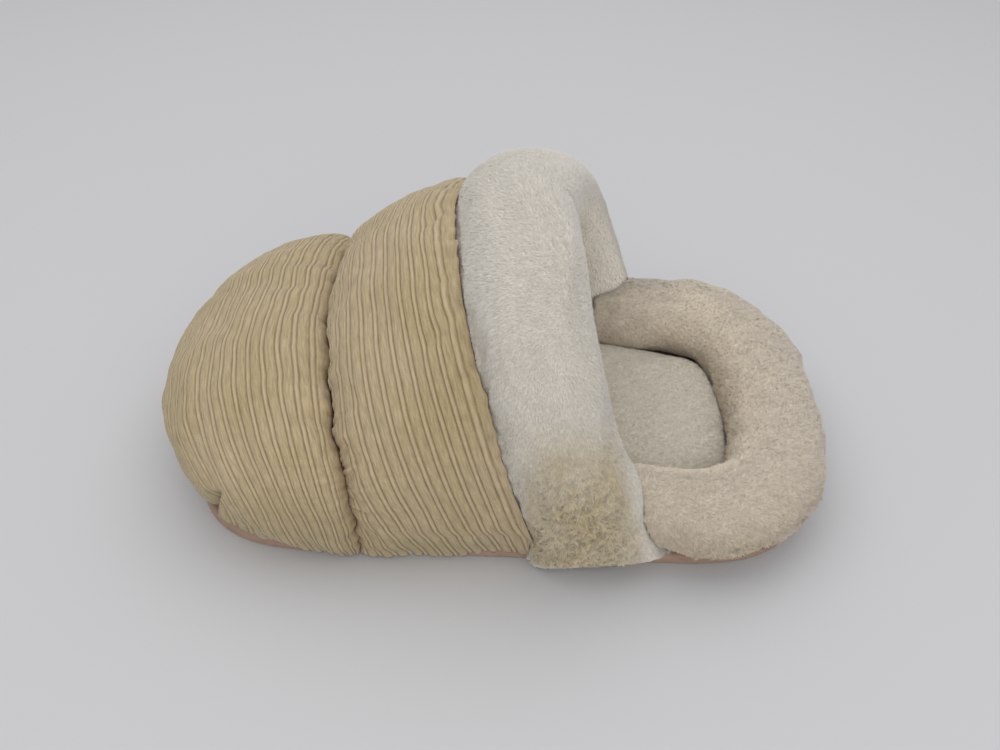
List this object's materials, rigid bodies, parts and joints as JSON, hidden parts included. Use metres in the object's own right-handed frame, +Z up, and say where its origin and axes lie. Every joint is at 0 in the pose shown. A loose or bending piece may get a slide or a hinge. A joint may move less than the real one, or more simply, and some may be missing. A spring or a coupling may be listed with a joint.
{
  "type": "slipper-shaped pet bed",
  "caption": "Slipper-shaped pet bed with a stuffed corduroy toe hood, a plush roll round its mouth, a plush heel bolster and a crowned inner pad.",
  "frame": {"origin": "middle of the sole's flat underside, on the floor", "axes": "+X towards the open heel, -X towards the closed toe, +Z up"},
  "size_m": [0.5926, 0.4, 0.281],
  "materials": {
    "suede_cloth": "brown suede cloth",
    "corduroy": "tan corduroy of a wide and a thin wale by turns",
    "cuff_plush": "off-white short plush",
    "bolster_plush": "beige short plush",
    "pad_plush": "greyish beige short plush"
  },
  "bodies": {
    "root": {"sole": "suede_cloth", "toe_band": "corduroy", "instep_band": "corduroy", "cuff": "cuff_plush", "heel_bolster": "bolster_plush", "pad": "pad_plush"}
  },
  "joints": []
}
